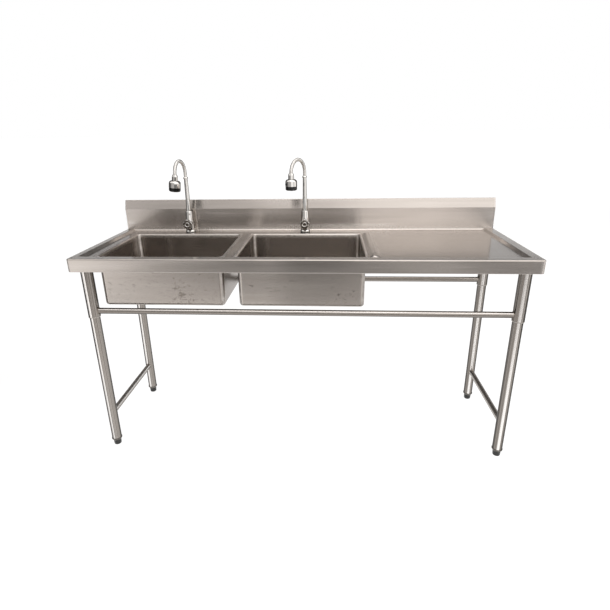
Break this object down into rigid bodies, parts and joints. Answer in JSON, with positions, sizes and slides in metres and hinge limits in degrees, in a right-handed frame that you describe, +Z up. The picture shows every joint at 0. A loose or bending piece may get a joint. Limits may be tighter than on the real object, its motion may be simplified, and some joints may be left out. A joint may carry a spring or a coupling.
{
  "type": "double-bowl pot sink",
  "caption": "Freestanding stainless pot sink with deep bowls, a drainboard, a splashback, swivelling gooseneck spray taps and a tubular stand on adjustable feet.",
  "frame": {"origin": "on the floor under the middle of the worktop, the middle of the base of the bounding box", "axes": "+X to the right along the worktop towards the drainboard, +Y towards the wall, +Z up"},
  "size_m": [1.8, 0.6, 1.2377],
  "materials": {
    "sheet_steel": "fine satin, folded and ground at the corners",
    "tube_steel": "bright drawn tube",
    "bright_steel": "polished",
    "chrome": "mirror chrome on brass",
    "brass": "turned",
    "black_plastic": "gloss",
    "grey_plastic": "moulded satin",
    "rubber": "matt"
  },
  "bodies": {
    "sink": {"worktop": "sheet_steel", "rear_apron": "sheet_steel", "left_bowl": "sheet_steel", "right_bowl": "sheet_steel", "left_leg_channel": "sheet_steel", "right_leg_channel": "sheet_steel", "drainboard_stiffeners": "sheet_steel", "sleeve_front_left": "tube_steel", "sleeve_front_right": "tube_steel", "sleeve_rear_left": "tube_steel", "sleeve_rear_right": "tube_steel", "front_rail": "tube_steel", "rear_rail": "tube_steel", "leg_grub_screws": "bright_steel", "leg_front_left": "tube_steel", "leg_front_right": "tube_steel", "leg_rear_left": "tube_steel", "leg_rear_right": "tube_steel", "left_brace": "tube_steel", "right_brace": "tube_steel", "foot_inserts": "bright_steel", "tap_gaskets": "rubber", "tap_washers": "bright_steel", "tap_back_nuts": "brass", "valve_cartridges": "brass", "spout_screws": "bright_steel", "spout_seals": "rubber", "left_tap_body": "chrome", "right_tap_body": "chrome", "left_strainer_cup": "bright_steel", "right_strainer_cup": "bright_steel", "waste_gaskets": "rubber", "waste_lock_nuts": "grey_plastic"},
    "left_handwheel": {"left_tap_knob": "chrome", "left_valve_spindle": "brass"},
    "left_spout": {"left_spout_riser": "chrome", "left_spout_ring": "chrome", "left_flexible_neck": "chrome", "left_head_nut": "chrome"},
    "left_spray": {"left_spray_head": "chrome", "left_spray_face": "black_plastic"},
    "left_button": {"left_spray_button": "black_plastic"},
    "left_basket": {"left_strainer_basket": "bright_steel", "left_basket_stopper": "rubber"},
    "right_handwheel": {"right_tap_knob": "chrome", "right_valve_spindle": "brass"},
    "right_spout": {"right_spout_riser": "chrome", "right_spout_ring": "chrome", "right_flexible_neck": "chrome", "right_head_nut": "chrome"},
    "right_spray": {"right_spray_head": "chrome", "right_spray_face": "black_plastic"},
    "right_button": {"right_spray_button": "black_plastic"},
    "right_basket": {"right_strainer_basket": "bright_steel", "right_basket_stopper": "rubber"},
    "front_left_foot": {"foot_front_left": "grey_plastic"},
    "front_right_foot": {"foot_front_right": "grey_plastic"},
    "rear_left_foot": {"foot_rear_left": "grey_plastic"},
    "rear_right_foot": {"foot_rear_right": "grey_plastic"}
  },
  "joints": [
    {"name": "left_handwheel_turn", "type": "hinge", "parent": "sink", "child": "left_handwheel", "pos_m": [-0.566, 0.209, 0.936], "axis": [0, -1, 0], "range_deg": [0, 90]},
    {"name": "left_spout_swivel", "type": "hinge", "parent": "sink", "child": "left_spout", "pos_m": [-0.566, 0.245, 0.995], "axis": [0, 0, 1], "continuous": true},
    {"name": "left_spray_swivel", "type": "hinge", "parent": "left_spout", "child": "left_spray", "pos_m": [-0.57802, 0.13063, 1.172], "axis": [0.1212, -0.0127, 0.9925], "continuous": true},
    {"name": "left_button_press", "type": "slide", "parent": "left_spray", "child": "left_button", "axis": [0.0685, -0.9974, -0.0212], "range_m": [0, 0.002], "stiffness_N_per_m": 800},
    {"name": "left_basket_lift", "type": "slide", "parent": "sink", "child": "left_basket", "axis": [0, 0, 1], "range_m": [0, 0.26]},
    {"name": "right_handwheel_turn", "type": "hinge", "parent": "sink", "child": "right_handwheel", "pos_m": [0, 0.209, 0.936], "axis": [0, -1, 0], "range_deg": [0, 90]},
    {"name": "right_spout_swivel", "type": "hinge", "parent": "sink", "child": "right_spout", "pos_m": [0, 0.245, 0.995], "axis": [0, 0, 1], "continuous": true},
    {"name": "right_spray_swivel", "type": "hinge", "parent": "right_spout", "child": "right_spray", "pos_m": [-0.05487, 0.14394, 1.172], "axis": [0, 0, 1], "continuous": true},
    {"name": "right_button_press", "type": "slide", "parent": "right_spray", "child": "right_button", "axis": [0.8039, 0.5948, 0], "range_m": [0, 0.002], "stiffness_N_per_m": 800},
    {"name": "right_basket_lift", "type": "slide", "parent": "sink", "child": "right_basket", "axis": [0, 0, 1], "range_m": [0, 0.26]},
    {"name": "front_left_foot_adjust", "type": "slide", "parent": "sink", "child": "front_left_foot", "axis": [0, 0, -1], "range_m": [0, 0.025]},
    {"name": "front_right_foot_adjust", "type": "slide", "parent": "sink", "child": "front_right_foot", "axis": [0, 0, -1], "range_m": [0, 0.025]},
    {"name": "rear_left_foot_adjust", "type": "slide", "parent": "sink", "child": "rear_left_foot", "axis": [0, 0, -1], "range_m": [0, 0.025]},
    {"name": "rear_right_foot_adjust", "type": "slide", "parent": "sink", "child": "rear_right_foot", "axis": [0, 0, -1], "range_m": [0, 0.025]}
  ]
}
